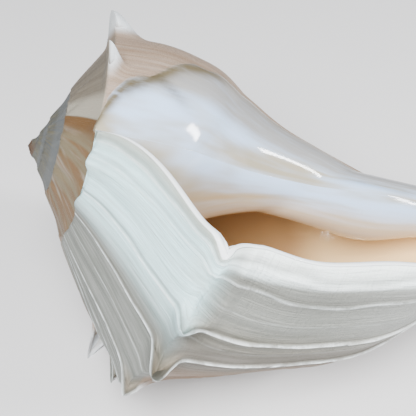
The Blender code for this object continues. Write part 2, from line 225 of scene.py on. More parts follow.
# The lip dips at its newest fold, and sags a little along the body, in degrees
NOTCH = 4.4
NOTCH_RAMP_SIDE = 0.0040
NOTCH_BODY_SIDE = 0.0062
NOTCH_PLACE = -0.0006
NOTCH_SIDES = 0.35
NOTCH_EASE = 22.0
NOTCH_RISE = (-30.0, 20.0)
LIP_SAGS = ((0.9, 0.25, 0.09), (2.5, 0.49, 0.085))
LIP_SAG_EASE = 12.0

# The columella is waisted at the aperture's head and swells before the canal, each at a depth
# and over a length
WAIST = -0.0018
WAIST_DEPTH = (0.083, 0.020)
SWELL = 0.0040
SWELL_DEPTH = (0.128, 0.017)
COLUMELLA_RISE = (-328.0, -30.0)
COLUMELLA_END_RISE = (-600.0, 30.0)

# Fineness of the surface, with its columns' steps in degrees
COLUMN_STEP_OLD = 2.2
COLUMN_STEP_OLD_FOLD = 0.5
COLUMN_STEP_NEW = 0.85
COLUMN_STEP_FOLD = 0.22
COLUMN_STEP_SLOPE = 0.30
FOLD_CORE = 0.9
OLD_FOLD_CORE = 1.5
NEW_STRETCH = -160.0
COLUMN_PROBES = 36001
RAMP_ROWS = 40
RAMP_ROW_EASE = 0.11
BODY_ROWS = 96
BODY_ROW_POWER = 1.12
ROW_STEPS = (1, 3, 6, 13, 13, 13)
SHARP_ANGLE = math.radians(65.0)

# What the paint reads from the mesh. Each pair is how many degrees from its ledge, spine or
# edge something lies, and its width
LAST_WHORL = -360.5
GROWTH_SCALE = 0.14
STATION_SCALE = 15.0
FULL_LEDGE = 0.0010
# The ledges' crests are pale and carry a painted highlight.
CREST = (-0.05, 0.20)
# Painted shade lies in the band ahead of each ledge.
LEDGE_SHADE = (0.75, 0.50)
FULL_POCKET = 0.009
POCKET_PATCH = (1.5, 0.9)
FULL_KEEL = 0.006
ENAMEL_RIM = (4.0, 6.0)

# Painted shade along the shoulder's newest channel and in its hollows
SHADE_ACROSS = (0.0064, 0.0020)
SHADE_IN_CHANNEL = 0.30
SHADE_IN_HOLLOWS = 1.3
SHADE_SPREAD = 0.5

# The smudge on the enamel, a V that points forward, and where the enamel is thin
SMUDGE_TURN = -325.0
SMUDGE_LEGS = 230.0
SMUDGE_STATION = 0.391
SMUDGE_WIDTH = 4.2
SMUDGE_REACH = 0.055
THIN_RISE = (-338.0, 16.0)
THIN_STATION_RISE = (0.33, 0.04)

# Where the enamel turns tan, as the whorl turns into the mouth
TAN_RISE = (-8.0, -26.0)
TAN_STATION_RISE = (0.64, -0.09)

# How the colours of the spire lag across the ramp, in degrees
AGE_RISE = (-250.0, -45.0)
SPIRE_LAG = 23.0
SPIRE_LAG_POWER = 0.6

# Which of the noise's values streaks run between, and how rough and bumpy the surface is
STREAKS = (0.3, 0.7)
CHALK_ROUGHNESS = 0.58
ENAMEL_ROUGHNESS = 0.09
BUMP_STRENGTH = 0.8
BUMP_DISTANCE = 0.0011

# Where the shell lies, and where the camera stands seen from the shell's axis
SHELL_UP = Vector((0.722564, 0.628156, 0.288656))
APEX_PLACE = Vector((-0.106473, 0.017979, 0.081527))
CAMERA_TILT = math.radians(11.30)
CAMERA_ROLL = math.radians(9.09)
CAMERA_TURN = math.radians(10.8)
CAMERA_PLACE = Vector((0.06427, -0.02217, 0.3520))
CAMERA_LENS = 86.54
SENSOR = 36.0
LIGHT_AIM = Vector((0.0, 0.0, 0.05))


def safe_exp(value):
    """Return the exponential of a value that is first kept small enough for it."""
    return np.exp(np.clip(value, -LARGEST_POWER, LARGEST_POWER))


def soft_ramp(value, ease):
    """Return zero well below zero and the value itself well above, with a rounded bend."""
    return ease * np.log1p(safe_exp(value / ease))


def unit(value):
    """Return the value kept between 0 and 1."""
    return np.clip(value, 0.0, 1.0)


def smooth_step(value):
    t = unit(value)
    return t * t * (3.0 - 2.0 * t)


def rise(value, start, length):
    """Return 0 at the start, rising smoothly to 1 over the length, which may run backwards."""
    return smooth_step((value - start) / length)


def bell(value, middle, width, power=2):
    """Return 1 at the middle and ease to 0 on both sides, with about a third at this width."""
    return np.exp(-((value - middle) / width) ** power)


def curve_through(points, x):
    """Return the height at x of a smooth curve through the points."""
    xs, ys = np.array(points).T
    slopes = np.gradient(ys, xs)
    i = np.clip(np.searchsorted(xs, x) - 1, 0, len(xs) - 2)
    width = xs[i + 1] - xs[i]
    t = unit((x - xs[i]) / width)
    start = (2 * t**3 - 3 * t**2 + 1) * ys[i] + (t**3 - 2 * t**2 + t) * width * slopes[i]
    end = (3 * t**2 - 2 * t**3) * ys[i + 1] + (t**3 - t**2) * width * slopes[i + 1]
    return start + end


# The plain shape of the shell

def lip_stage(turn):
    """Return how far the lip's own shape has set in: 0 on the older shell."""
    return np.maximum((turn + LIP_STRETCH) / LIP_EASE, 0.0) ** 2


def shoulder_radius(turn):
    growth = GROWTH * turn + LATE_GROWTH * soft_ramp(turn - LATE_START, LATE_EASE)
    return SHOULDER_AT_LIP * np.exp(growth) * (1.0 - LIP_TUCK * lip_stage(turn))


def shoulder_depth(turn):
    return SPIRE_SLOPE * shoulder_radius(turn) + APEX_RISE + LIP_DROOP * lip_stage(turn)


def stem_radius(depth):
    taper = unit((depth / LENGTH - STEM_TAPER_START) / (1.0 - STEM_TAPER_START))
    return STEM + (STEM_TIP - STEM) * taper


def body_radius(turn, depth):
    """Return the outside radius below the shoulder."""
    shoulder = shoulder_radius(turn)
    reach = BODY_REACH * shoulder
    reach = reach / (1.0 + (reach / LONGEST_REACH) ** REACH_EASE) ** (1.0 / REACH_EASE)
    along = unit((depth - shoulder_depth(turn)) / reach)
    back = 1.0 / (1.0 + safe_exp((turn - BACK_END) / BACK_EASE))
    outline = curve_through(BODY_OUTLINE, along)
    outline = outline + BACK_BULGE * back * np.sin(math.pi * unit(2.0 * along))
    spread = CANAL_SPREAD * lip_stage(turn) * smooth_step(along)
    plain = stem_radius(depth) + np.maximum(shoulder - STEM, 0.0) * outline + spread
    return plain + columella_relief(turn, depth)


def columella_relief(turn, depth):
    """Return how far the columella departs from the plain body."""
    share = rise(turn, *COLUMELLA_RISE) * rise(turn, *COLUMELLA_END_RISE)
    waist = WAIST * bell(depth, *WAIST_DEPTH)
    return share * (waist + SWELL * bell(depth, *SWELL_DEPTH))


def growth_lag(start, station):
    """Return how many degrees a growth line lies behind its start at this station."""
    share = rise(start, *LAG_RISE)
    ramp = unit(station / SHOULDER) ** RAMP_LAG_POWER
    body = unit((station - SHOULDER) / (1.0 - SHOULDER))
    ramp_lag = LIP_LAG * np.exp(start / LIP_LAG_EASE) + RAMP_LAG * share
    bow = BODY_BOW * (1.0 - np.exp(start / BODY_BOW_EASE)) * share
    body_lag = bow * np.sin(math.pi * unit(body / BODY_BOW_END))
    for sag, place, width in LIP_SAGS:
        sag = sag * np.exp(start / LIP_SAG_EASE)
        body_lag = body_lag + sag * bell(station, place, width)
    return ramp_lag * smooth_step(ramp) + body_lag + CANAL_LAG * share * body


def shoulder_turn(start):
    """Return the turn at which the growth line from this start crosses the shoulder."""
    return start - growth_lag(start, SHOULDER)


def depth_share(station):
    """Return how far down the body a station lies, from the shoulder to the canal's end."""
    return np.maximum((station - SHOULDER) / (1.0 - SHOULDER), 0.0) ** ROW_EASE


def section_point(turn, station):
    """Return radius and depth on the plain outside of the whorl."""
    depth = shoulder_depth(turn)
    share = unit(station / SHOULDER)
    inner = shoulder_radius(turn - WHORL)
    top = shoulder_depth(turn - WHORL)
    ramp_radius = inner + (shoulder_radius(turn) - inner) * share
    ramp_depth = top + (depth - top) * share
    body_depth = depth + (LENGTH - depth) * depth_share(station)
    on_ramp = station <= SHOULDER
    return (np.where(on_ramp, ramp_radius, body_radius(turn, body_depth)),
            np.where(on_ramp, ramp_depth, body_depth))


def section_normal(turn, station, step=NORMAL_STEP):
    """Return the outward direction, as radius and depth, eased over the shoulder."""
    r0, d0 = section_point(turn, np.maximum(station - step, 0.0))
    r1, d1 = section_point(turn, np.minimum(station + step, 1.0))
    length = np.maximum(np.hypot(r1 - r0, d1 - d0), TINY)
    return (d1 - d0) / length, (r0 - r1) / length


def around_axis(turn, radius, depth):
    angle = np.radians(turn)
    depth = np.broadcast_to(depth, np.shape(radius * angle))
    return np.stack([radius * np.cos(angle), radius * np.sin(angle), -depth], axis=-1)


# What stands out from the plain shape

def from_shoulder(start, station):
    """Return how far from the shoulder this is along the line, less than zero on the ramp."""
    turn = shoulder_turn(start)
    ramp = shoulder_radius(turn) - shoulder_radius(turn - WHORL)
    on_ramp = (station / SHOULDER - 1.0) * ramp * math.hypot(1.0, SPIRE_SLOPE)
    on_body = depth_share(station) * (LENGTH - shoulder_depth(turn))
    return np.where(station < SHOULDER, on_ramp, on_body)


def across_spine(start, station, breadth, power=SPINE_ACROSS_POWER):
    """Return a spine's profile across the shoulder, steeper on the ramp's side."""
    distance = from_shoulder(start, station) / breadth
    width = np.where(distance < 0.0, SPINE_RAMP_SIDE, SPINE_BODY_SIDE)
    return np.exp(-np.abs(distance / width) ** power)


def spine_power(spine_turn):
    """Return the power that makes a spine's profile blunt or pointed."""
    return BLUNT_ACROSS_POWER if spine_turn in BLUNT_SPINES else SPINE_ACROSS_POWER


def along_spine(ahead, keel):
    """Return a spine's profile along the shoulder: a long keel behind and a steep front."""
    front = bell(ahead, 0.0, SPINE_FRONT)
    return np.where(ahead > 0.0, front, np.exp(-np.abs(ahead / keel) ** SPINE_KEEL_POWER))


def spine_height(start, station):
    """Return how far the folded spines and the spire's knobs stand out."""
    here = shoulder_turn(start)
    height = np.zeros(np.shape(here))
    for spine_turn, spine, keel, breadth in SPINES:
        fold = spine * along_spine(here - spine_turn, keel)
        across = across_spine(start, station, breadth, spine_power(spine_turn))
        height = np.maximum(height, fold * across)
    size = shoulder_radius(start)
    phase = np.cos(np.radians(start * WHORL / KNOB_SPACING))
    knob = size * KNOB_SHARE * np.maximum(phase, 0.0) ** 2
    knob = knob * bell(from_shoulder(start, station), 0.0, KNOB_WIDTH * size)
    return np.where(start < KNOBS_END, knob, height)


def spine_lean(start, station):
    """Return how far ahead the spines lean, less the pocket in the front of each."""
    here = shoulder_turn(start)
    lean = np.zeros(np.shape(here))
    for spine_turn, spine, keel, breadth in SPINES:
        ahead = here - spine_turn
        front = np.maximum(ahead, 0.0) / SPINE_FRONT
        pocket = POCKET * math.e * front ** 2 * np.exp(-front ** 2)
        forward = SPINE_LEAN * along_spine(ahead, keel) ** 2
        lean = lean + spine * forward * across_spine(start, station, breadth)
        lean = lean - spine * pocket * across_spine(start, station, breadth * POCKET_BREADTH)
    return np.where(start < KNOBS_END, 0.0, lean)


def channel_height(start, station):
    """Return the newest channel and ridge, less the dip and hollows, with the apex's nub."""
    here = shoulder_turn(start)
    share = rise(here, CHANNEL_START, CHANNEL_EASE)
    distance = from_shoulder(start, station)
    channel = CHANNEL_DEPTH * bell(distance, *CHANNEL_ACROSS)
    ridge = RIDGE_HEIGHT * bell(distance, *RIDGE_ACROSS)
    dip = DIP_DEPTH * bell(here, *DIP_ALONG) * bell(distance, *DIP_ACROSS)
    for turn, length, depth in HOLLOWS:
        dip = dip + depth * hollow_share(here, distance, turn, length)
    nub = NUB * rise(start, *NUB_RISE)
    return share * (ridge - channel) - dip * (start > -WHORL) + nub


def hollow_share(here, distance, turn, length):
    """Return 1 in the middle of a hollow, easing to 0 around it."""
    return bell(here, turn, length) * bell(distance, *HOLLOW_ACROSS)


def rounding(start, station):
    """Return how far the shoulder is rounded off here, in stations."""
    newest = rise(shoulder_turn(start), CHANNEL_START, CHANNEL_EASE)
    near = bell(station, SHOULDER, ROUNDING_SPREAD * CHANNEL_ROUNDING, 4)
    return CHANNEL_ROUNDING * newest * near


def rounded_point(turn, station, reach):
    """Return the mean place of the section within this reach, which rounds its corner off."""
    if not np.any(reach > 0.0):
        return section_point(turn, station)
    total = sum(weight for _, weight in ROUNDING_WEIGHTS)
    radius = 0.0
    depth = 0.0
    for offset, weight in ROUNDING_WEIGHTS:
        near_radius, near_depth = section_point(turn, station + offset * reach)
        radius = radius + near_radius * weight / total
        depth = depth + near_depth * weight / total
    return radius, depth


def lip_notch(start, station):
    """Return how many degrees the lip dips back at its newest fold, with a lift on each side."""
    distance = from_shoulder(start, station) - NOTCH_PLACE
    across = np.where(distance < 0.0, distance / NOTCH_RAMP_SIDE, distance / NOTCH_BODY_SIDE) ** 2
    dip = (1.0 - NOTCH_SIDES * across) * np.exp(-across)
    share = np.exp(start / NOTCH_EASE) * rise(start, *NOTCH_RISE)
    return NOTCH * share * dip


def ledge_profile(ahead, behind_width):
    """Return a saw-tooth: a slow rise behind the ledge and a sharp drop ahead of it."""
    behind = np.exp(-np.abs(ahead / behind_width))
    return np.where(ahead > 0.0, bell(ahead, 0.0, LEDGE_AHEAD), behind)


def ledge_wave(turn, station):
    """Return how many degrees a growth line wanders here."""
    waves = [share * np.sin(along * station + shift * turn) for along, shift, share in LEDGE_WAVES]
    return LEDGE_WAVE * sum(waves)


def growth_marks():
    """Return turn, height, width, cord and wandering of each ledge and of many finer lines."""
    chance = np.random.RandomState(FINE_LINE_SEED)
    turns = FINE_LINE_START - np.cumsum(chance.uniform(*FINE_LINE_GAPS, FINE_LINE_COUNT))
    heights = FINE_LINE_HEIGHT * chance.uniform(*FINE_LINE_HEIGHTS, FINE_LINE_COUNT)
    widths = chance.uniform(*FINE_LINE_WIDTHS, FINE_LINE_COUNT)
    marks = [(turn, height, LEDGE_BEHIND, CORD_SHARE, 1.0) for turn, height in LEDGES]
    return marks + [(*line, 0.0, FINE_LINE_WAVE) for line in zip(turns, heights, widths)]


GROWTH_MARKS = growth_marks()


def ledge_height(start, station):
    """Return how far the growth ledges and the fine growth lines stand out."""
    here = shoulder_turn(start)
    height = np.zeros(np.shape(here))
    for turn, mark, width, cord, wander in GROWTH_MARKS:
        if np.min(np.abs(here - turn)) > LINE_REACH:
            continue
        ahead = here - turn + wander * ledge_wave(turn, station)
        height = height + mark * ledge_profile(ahead, width)
        height = height + mark * cord * bell(ahead, -CORD_BEHIND, CORD_WIDTH)
    share = np.sin(math.pi * unit(station / LEDGE_END)) ** LEDGE_END_POWER
    on_body = rise(station, *BODY_RELIEF_RISE)
    share = share * (RAMP_SHARE + (1.0 - RAMP_SHARE) * on_body)
    return (height - MEAN_RELIEF) * share * rise(start, *RELIEF_RISE)


def suture_wave(start):
    """Return how strongly the edge on the older whorl stands out along the suture."""
    size = shoulder_radius(start) / SHOULDER_AT_LIP
    wave = 1.0 + sum(share * np.sin(start * along) for along, share in SUTURE_WAVES)
    for bump in SUTURE_BUMPS:
        wave = wave + SUTURE_BUMP * bell(start, bump, SUTURE_BUMP_LENGTH)
    return size ** SUTURE_POWER * wave


def suture_height(start, station):
    """Return the raised edge of each whorl on the one before."""
    edge = smooth_step(station / SUTURE_WIDTH) * (1.0 - rise(station, *SUTURE_FALL))
    return SUTURE_LIFT * suture_wave(start) * edge


def suture_lap(start, station):
    """Return how far the newest growth's edge laps over the whorl before."""
    share = station / SUTURE_LAP * np.exp(1.0 - station / SUTURE_LAP)
    return SUTURE_REACH * suture_wave(start) * share * rise(start, *LAP_RISE)


def enamel_share(turn, station):
    """Return 1 under the enamel that the animal laid on the outside by the aperture."""
    edge = np.interp(station, *np.array(ENAMEL_EDGE).T)
    wave = sum(height * np.sin(station * along) for along, height in ENAMEL_WAVES)
    return smooth_step((edge + wave - turn) / ENAMEL_EDGE_WIDTH)


def outside_point(start, station):
    """Return points on the outside, with everything that stands out from it."""
    turn = start - growth_lag(start, station)
    reach = rounding(start, station)
    radius, depth = rounded_point(turn, station, reach)
    out, down = section_normal(turn, station, NORMAL_STEP + ROUNDING_NORMAL * reach)
    lift = ledge_height(start, station) + suture_height(start, station)
    lift = lift + channel_height(start, station)
    enamel = enamel_share(turn, station) * (start <= ENAMEL_START) * (start >= -WHORL)
    lift = lift + ENAMEL_LIFT * enamel
    spine = spine_height(start, station)
    turn = turn + np.degrees(spine_lean(start, station) / radius) - lip_notch(start, station)
    lap = suture_lap(start, station)
    radius = radius + lift * out + spine + lap * down
    depth = depth + lift * down - spine * SPINE_TILT - lap * out
    return around_axis(turn, radius, np.minimum(depth, LENGTH))


# The inside

def canal_end(start):
    """Return the greatest depth at which the inside still has room."""
    lagged = start - growth_lag(start, 1.0)
    depths = np.linspace(shoulder_depth(lagged), LENGTH, DEPTH_SAMPLES)
    room = body_radius(lagged, depths) - WALL - body_radius(start - WHORL, depths)
    shut = np.nonzero(room <= NARROWEST_GAP)[0]
    return float(depths[shut[0] - 1]) if len(shut) else LENGTH


def inside_outer_point(start, station, end):
    """Return points on the inside face of the whorl's outer wall."""
    lagged = start - growth_lag(start, station)
    radius, depth = section_point(lagged, station)
    out, down = section_normal(lagged, station)
    share = depth_share(station)
    body_depth = shoulder_depth(lagged) + (end - shoulder_depth(lagged)) * share
    on_body = station > SHOULDER
    depth = np.where(on_body, body_depth, depth)
    radius = np.where(on_body, body_radius(lagged, body_depth), radius)
    down = down * (1.0 - share ** 4)
    rounded = ROUNDING_DEPTH * rounding(start, station) / CHANNEL_ROUNDING
    thick = WALL - channel_height(start, station) + rounded
    lagged = lagged - lip_notch(start, station)
    return around_axis(lagged, radius - thick * out, depth - thick * down)


def inside_inner_point(start, station, end):
    """Return points on the columella, which is the whorl before with its glaze."""
    top = shoulder_depth(start - WHORL) + CORNER_DROP
    depth = top + (end - top) * depth_share(station)
    turn = start - WHORL
    slope = body_radius(turn, depth + SLOPE_STEP) - body_radius(turn, depth - SLOPE_STEP)
    slope = slope / (2.0 * SLOPE_STEP)
    lift = ENAMEL_LIFT / np.hypot(1.0, slope)
    return around_axis(start, body_radius(turn, depth) + lift, np.minimum(depth - lift * slope, end))


# Building the skin

OUTSIDE, RIM, INNER_WALL, COLUMELLA, TIP = range(5)


class Skin:
    """The shell's one closed skin, with the growth place of every face corner."""

    def __init__(self):
        self.points = []
        self.faces = []
        self.corners = []

    def add_points(self, points):
        """Add points and return their numbers."""
        first = len(self.points)
        self.points.extend(points.tolist())
        return range(first, len(self.points))

    def add_face(self, corners):
        """Add a face from (point number, start, station, side) corners."""
        kept = []
        for corner in corners:
            if not any(corner[0] == other[0] for other in kept):
                kept.append(corner)
        self.faces.append([corner[0] for corner in kept])
        self.corners.extend(corner[1:] for corner in kept)

    def join(self, left, right, gap=None):
        """Fill between two neighbouring columns at the places that both have."""
        shared = [place for place in left if place in right]
        for high, low in zip(shared, shared[1:]):
            if high == gap:
                continue
            left_side = [left[place] for place in left if high <= place <= low]
            right_side = [right[place] for place in right if high <= place <= low]
            self.add_face(left_side + right_side[::-1])

    def join_same(self, left, right):
        """Fill quickly between two columns that have all their places in common."""
        a = list(left.values())
        b = list(right.values())
        for i in range(len(a) - 1):
            self.faces.append([a[i][0], a[i + 1][0], b[i + 1][0], b[i][0]])
            self.corners.extend((a[i][1:], a[i + 1][1:], b[i + 1][1:], b[i][1:]))


def column_starts():
    """Return the starts of the last whorl's columns, close together at the folds and ledges."""
    folds = [fold[0] for fold in SPINES + LEDGES]
    sharp = [turn for turn in folds if turn > NEW_STRETCH]
    old_sharp = [turn for turn in folds if turn <= NEW_STRETCH]
    probe = np.linspace(-WHORL, 0.0, COLUMN_PROBES)
    here = shoulder_turn(probe)
    step = np.where(here > NEW_STRETCH, COLUMN_STEP_NEW, COLUMN_STEP_OLD)
    for turn in sharp:
        past = np.maximum(np.abs(here - turn) - FOLD_CORE, 0.0)
        step = np.minimum(step, COLUMN_STEP_FOLD + COLUMN_STEP_SLOPE * past)
    for turn in old_sharp:
        past = np.maximum(np.abs(here - turn) - OLD_FOLD_CORE, 0.0)
        step = np.minimum(step, COLUMN_STEP_OLD_FOLD + COLUMN_STEP_SLOPE * past)
    slope = np.gradient(here, probe)
    count = np.concatenate([[0.0], np.cumsum((slope / step)[1:] * np.diff(probe))])
    total = int(round(count[-1]))
    return np.interp(np.arange(total + 1) * count[-1] / total, count, probe)


def ramp_rows(count):
    """Return stations on the ramp, closer together at the suture and at the shoulder."""
    even = np.linspace(0.0, 1.0, count)
    eased = even - RAMP_ROW_EASE * np.sin(2.0 * math.pi * even)
    return [round(float(value), 6) for value in eased * SHOULDER]


def body_rows():
    even = np.linspace(0.0, 1.0, BODY_ROWS)[1:]
    eased = SHOULDER + (1.0 - SHOULDER) * even ** BODY_ROW_POWER
    return [round(float(value), 6) for value in eased]


def add_outside(skin):
    """Add the spire and the last whorl, and return the last whorl's columns."""
    starts = column_starts()
    per_whorl = len(starts) - 1
    whole_ramp = ramp_rows(RAMP_ROWS)
    strip = []
    for whorl in range(SPIRE_TURNS, -1, -1):
        step = ROW_STEPS[whorl]
        stations = whole_ramp[:-1:step] + whole_ramp[-1:]
        if whorl == 0:
            stations = stations + body_rows()
        for start in starts[:per_whorl + (whorl == 0)] - WHORL * whorl:
            points = outside_point(start, np.array(stations))
            top = strip[-per_whorl][SHOULDER] if len(strip) >= per_whorl else None
            numbers = list(skin.add_points(points if top is None else points[1:]))
            if top is not None:
                numbers.insert(0, top[0])
            strip.append({station: (number, start, station, OUTSIDE)
                          for station, number in zip(stations, numbers)})
    for left, right in zip(strip, strip[1:]):
        if len(left) == len(right):
            skin.join_same(left, right)
        else:
            skin.join(left, right)
    add_apex(skin, strip, per_whorl)
    return strip[-1 - per_whorl:]


def add_apex(skin, strip, per_whorl):
    """Close the top of the first whorl on the apex."""
    number = skin.add_points(np.array([[0.0, 0.0, -APEX_DROP]]))[0]
    edge = [column[0.0] for column in strip[:per_whorl + 1]]
    edge += list(strip[0].values())[-2::-1]
    for first, second in zip(edge, edge[1:]):
        skin.add_face([(number, first[1], 0.0, OUTSIDE), first, second])


def inside_starts():
    """Return the starts at which the inside is made, close together near the lip."""
    near = MOUTH_END * (np.arange(1, MOUTH_STEPS + 1) / MOUTH_STEPS) ** MOUTH_EASE
    deep = np.linspace(MOUTH_END, CAVITY_END, DEEP_STEPS + 1)
    return np.concatenate([near, deep[1:]])


def inside_loop(outer, inner):
    """Return one loop round the inside: the outer wall from 0 to 1, the columella from 2 to 3."""
    loop = dict(outer)
    for station in sorted(inner, reverse=True):
        loop[3.0 - station] = inner[station]
    loop[3.0] = outer[0.0]
    return loop


def directions(vectors):
    """Return the vectors with a length of 1."""
    return vectors / np.maximum(np.linalg.norm(vectors, axis=1), TINY)[:, None]


def add_rim(skin, lip_column, stations):
    """Round the lip over from its outer edge to its inner edge, and return the inner edge."""
    array = np.array(stations)
    inner_points = inside_outer_point(0.0, array, LENGTH)
    outer_points = np.array([skin.points[lip_column[station][0]] for station in stations])
    ahead = outside_point(0.0, array) - outside_point(-RIM_BEHIND, array)
    across = directions(inner_points - outer_points)
    ahead = directions(ahead - across * (ahead * across).sum(axis=1)[:, None])
    thick = WALL * smooth_step(array / RIM_HEAD)
    inner_points = outer_points + across * thick[:, None]
    flat_end = unit((1.0 - array) / RIM_TIP)
    previous = lip_column
    for step in range(1, RIM_STEPS + 1):
        angle = math.pi * step / RIM_STEPS
        share = (1.0 - math.cos(angle)) / 2.0
        bulge = RIM_ROUND * thick * math.sin(angle) * flat_end
        points = outer_points + (inner_points - outer_points) * share + ahead * bulge[:, None]
        numbers = skin.add_points(points[1:])
        side = RIM if step < RIM_STEPS else INNER_WALL
        column = {0.0: (lip_column[0.0][0], 0.0, 0.0, side)}
        for station, number in zip(stations[1:], numbers):
            column[station] = (number, 0.0, station, side)
        skin.join(previous, column)
        previous = column
    return previous


def add_inside(skin, first_column, lip_column):
    """Line the inside from the lip's rim back to its blind end.

    Returns the corners that bound the open canal at its tip, from the lip round to the stem.
    """
    stations = list(lip_column)
    rim = add_rim(skin, lip_column, stations)
    mouth = {station: first_column[station] for station in stations if station > SHOULDER}
    loops = [inside_loop(rim, mouth)]
    coarse = [station for station in stations[2::2] if station < 1.0] + [1.0]
    array = np.array(coarse)
    body = array[array > SHOULDER]
    open_outer = [loops[0][1.0]]
    open_inner = []
    for start in inside_starts():
        end = canal_end(start)
        corner = skin.add_points(inside_inner_point(start, np.array([SHOULDER]), end))[0]
        outer = {0.0: (corner, start, 0.0, INNER_WALL)}
        for station, number in zip(coarse, skin.add_points(inside_outer_point(start, array, end))):
            outer[station] = (number, start, station, INNER_WALL)
        inner = {}
        for station, number in zip(body, skin.add_points(inside_inner_point(start, body, end))):
            inner[float(station)] = (number, start, float(station), COLUMELLA)
        loops.append(inside_loop(outer, inner))
        tip_is_open = end >= LENGTH
        skin.join(loops[-2], loops[-1], gap=1.0 if tip_is_open else None)
        if tip_is_open:
            open_outer.append(outer[1.0])
            open_inner.append(inner[1.0])
    skin.add_face(list(loops[-1].values())[:-1])
    return open_outer + open_inner[::-1]


# What the paint reads from the mesh

def smudge_share(turn, station):
    """Return where the smudge lies on the enamel."""
    wedge = SMUDGE_TURN - SMUDGE_LEGS * np.abs(station - SMUDGE_STATION)
    return bell(turn, wedge, SMUDGE_WIDTH) * bell(station, SMUDGE_STATION, SMUDGE_REACH, 4)


def shade_share(start, station):
    """Return where painted shade lies in the newest channel along the shoulder and in the hollows.
    """
    here = shoulder_turn(start)
    distance = from_shoulder(start, station)
    newest = rise(here, CHANNEL_START + CHANNEL_EASE, CHANNEL_EASE)
    shade_amount = SHADE_IN_CHANNEL * newest * bell(distance, *SHADE_ACROSS)
    for turn, length, _ in HOLLOWS:
        hollow = hollow_share(here, distance, turn, length)
        shade_amount = shade_amount + SHADE_IN_HOLLOWS * hollow ** SHADE_SPREAD
    return shade_amount


def corner_values(corners, depth):
    """Return what the paint reads at each face corner, by name."""
    start, station, side = corners.T
    turn = start - growth_lag(start, station)
    here = shoulder_turn(start)
    outside = side == OUTSIDE
    last_whorl = outside & (start > LAST_WHORL)
    on_ramp = unit(station / SHOULDER)
    older = rise(turn, *AGE_RISE)
    age = here + older * (turn + SPIRE_LAG * on_ramp ** SPIRE_LAG_POWER - here)
    edge = np.interp(station, *np.array(ENAMEL_EDGE).T) - turn
    near_aperture = last_whorl & (start <= ENAMEL_START)
    enamel = np.where(near_aperture, enamel_share(turn, station), side == COLUMELLA)
    crest = painted_shade = pocket = np.zeros(len(start))
    for ledge_turn, ledge in LEDGES:
        ahead = here - ledge_turn + ledge_wave(ledge_turn, station)
        crest = np.maximum(crest, ledge / FULL_LEDGE * bell(ahead, *CREST))
        # Painted shade in the band just ahead of each ledge.
        painted_shade = np.maximum(painted_shade, ledge / FULL_LEDGE * bell(ahead, *LEDGE_SHADE))
    for spine_turn, spine, _, breadth in SPINES:
        front = bell(here - spine_turn, *POCKET_PATCH) * across_spine(start, station, breadth)
        pocket = np.maximum(pocket, spine / FULL_POCKET * front)
    return {
        "growth": np.stack([age * GROWTH_SCALE, station * STATION_SCALE, 0.0 * age], axis=1),
        "station": station,
        "depth": depth,
        "age": age,
        "enamel": enamel,
        "enamel_rim": near_aperture * bell(edge, *ENAMEL_RIM),
        "smudge": smudge_share(turn, station) * near_aperture,
        "thin": rise(turn, *THIN_RISE) * rise(station, *THIN_STATION_RISE) * near_aperture,
        "mouth_tan": rise(start, *TAN_RISE) * rise(station, *TAN_STATION_RISE) * (side == COLUMELLA),
        "crest": np.minimum(crest, 1.0) * last_whorl,
        # The painted shade ahead of the ledges, in the newest channel and in the hollows, together.
        "painted_shade": unit(painted_shade + shade_share(start, station)) * last_whorl,
        "keel": unit(spine_height(start, station) / FULL_KEEL) * last_whorl,
        "pocket": pocket * last_whorl,
        "inner_wall": (side == INNER_WALL) | (side == RIM),
        "depth_inside": np.where(outside, 0.0, -start),
    }


def add_object(name, data):
    """Add an object with this data to the scene."""
    item = bpy.data.objects.new(name, data)
    bpy.context.scene.collection.objects.link(item)
    return item


def build_shell():
    """Build the whole shell as one closed skin, in the place where it lies."""
    skin = Skin()
    whorl = add_outside(skin)
    canal_edge = add_inside(skin, whorl[0], whorl[-1])
    tip = [column[1.0] for column in whorl] + canal_edge
    skin.add_face([(number, start, station, TIP) for number, start, station, _ in tip])
    mesh = bpy.data.meshes.new("whelk_shell")
    rotation = np.array(lying_rotation())
    points = np.array(skin.points) @ rotation.T + np.array(APEX_PLACE)
    mesh.from_pydata(points.tolist(), [], skin.faces)
    corner_points = np.array([number for face in skin.faces for number in face])
    values = corner_values(np.array(skin.corners), -np.array(skin.points)[corner_points, 2])
    for name, value in values.items():
        value = np.asarray(value, dtype=np.float32)
        kind, field = ("FLOAT_VECTOR", "vector") if value.ndim == 2 else ("FLOAT", "value")
        layer = mesh.attributes.new(name, kind, "CORNER")
        layer.data.foreach_set(field, value.ravel())
    mesh.update()
    mesh.shade_smooth()
    mesh.set_sharp_from_angle(angle=SHARP_ANGLE)
    return add_object("whelk_shell", mesh)


def lying_rotation():
    """Return the rotation that lays the shell down with its apex towards -X."""
    up = SHELL_UP.normalized()
    right = Vector((0.0, 0.0, -1.0))
    right = (right - up * right.dot(up)).normalized()
    return Matrix((right, up.cross(right), up))


# Paint. Ages are turns at the shoulder in degrees, and colours are red, green and blue

